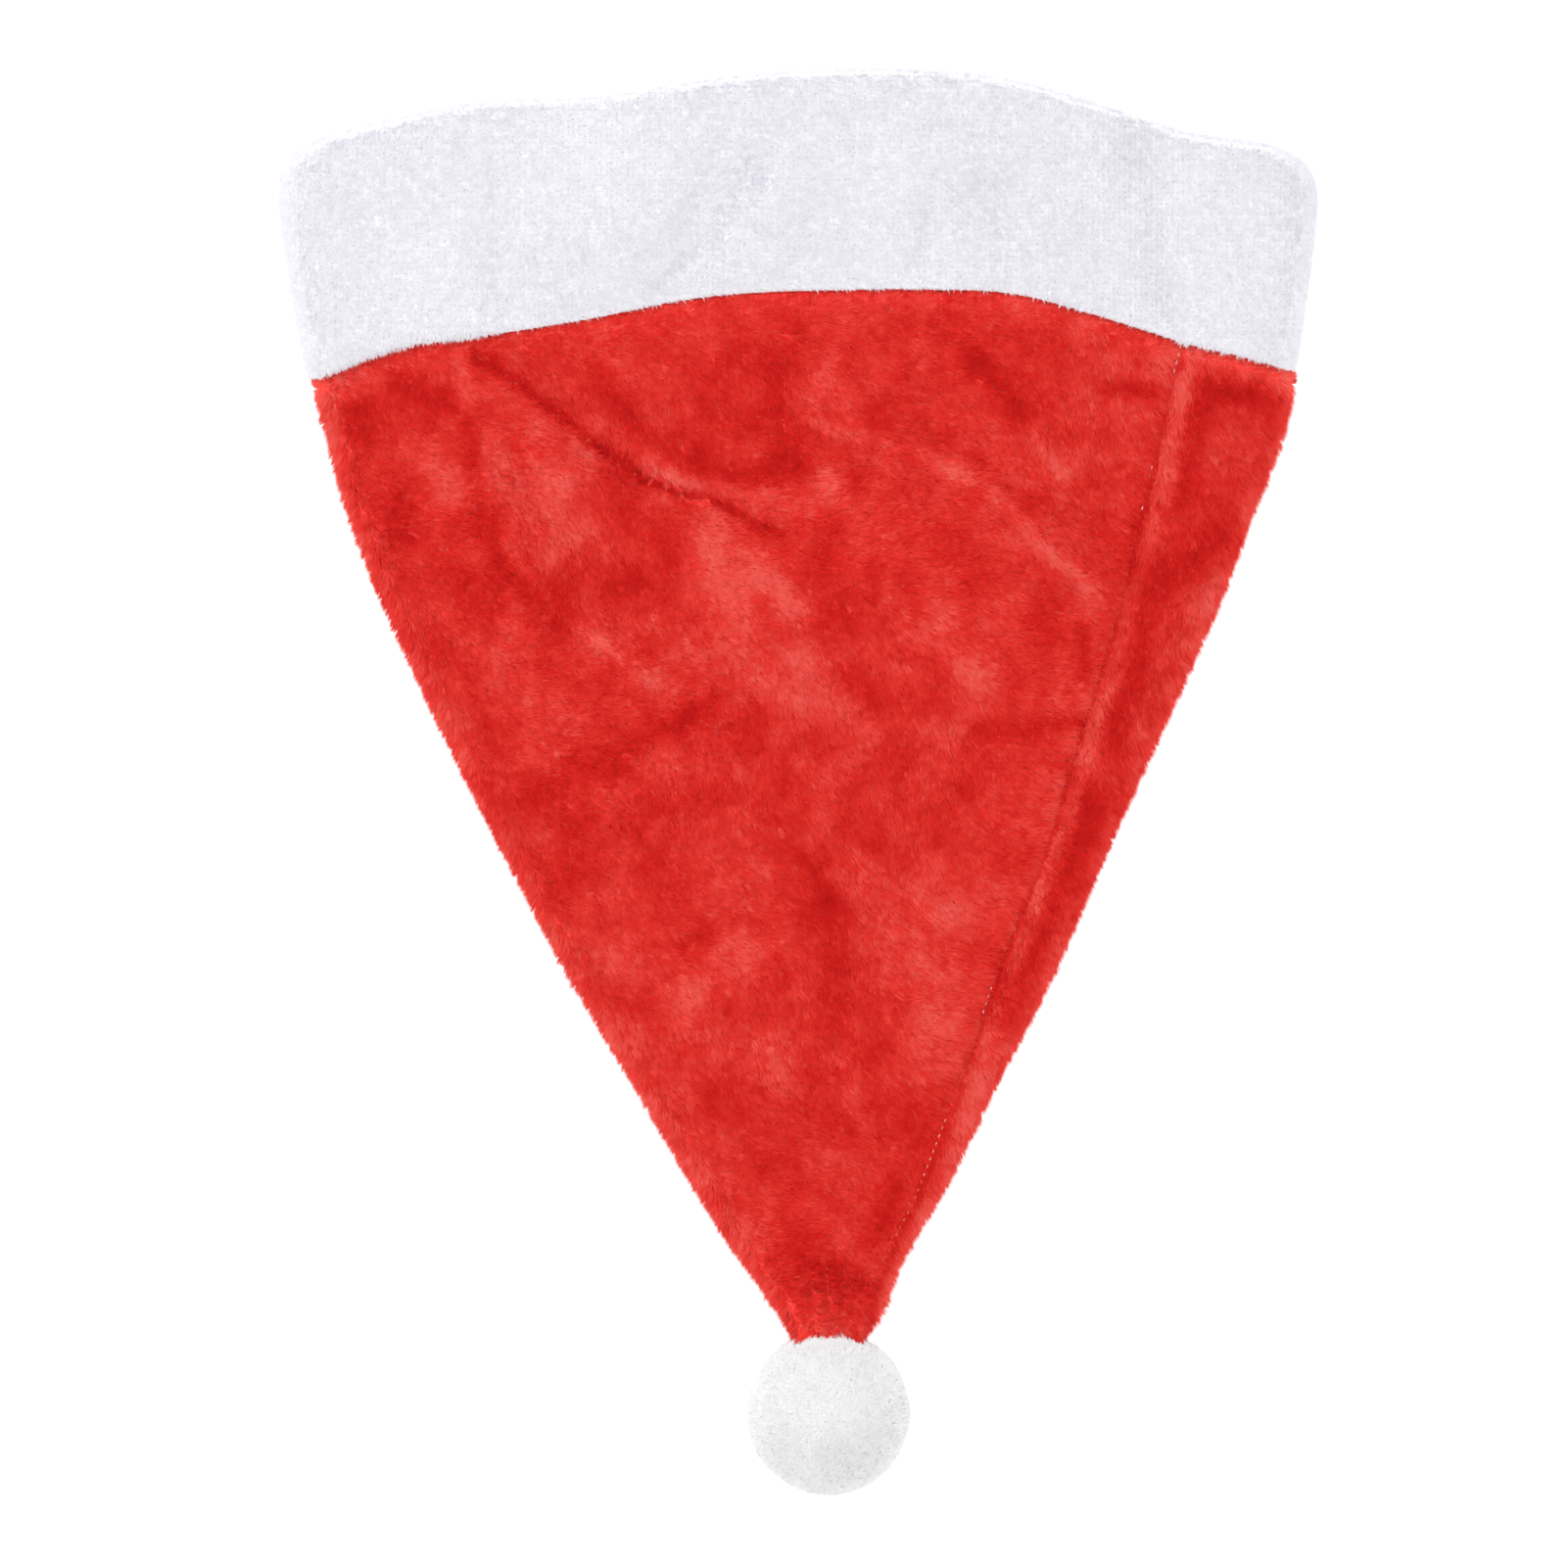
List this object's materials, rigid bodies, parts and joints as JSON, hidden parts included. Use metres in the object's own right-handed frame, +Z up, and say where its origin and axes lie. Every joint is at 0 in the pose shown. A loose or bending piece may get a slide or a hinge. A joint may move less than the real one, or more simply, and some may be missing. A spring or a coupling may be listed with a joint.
{
  "type": "santa hat",
  "caption": "Red plush cone hat with a wide white plush band round its mouth and a white pompom at the tip, lying flat.",
  "frame": {"origin": "on the table under the middle of the hat's box, as it lies flat", "axes": "+Y from the pompom to the mouth, +X to the right seen from above, +Z up from the table"},
  "size_m": [0.2903, 0.3947, 0.0453],
  "materials": {
    "red_plush": "short-pile red plush, soft sheen, pile brushed in patches",
    "white_plush": "short-pile white plush, matt",
    "white_pompom": "dense white fleece pompom, matt"
  },
  "bodies": {
    "root": {"crown": "red_plush", "band": "white_plush", "pompom": "white_pompom"}
  },
  "joints": []
}
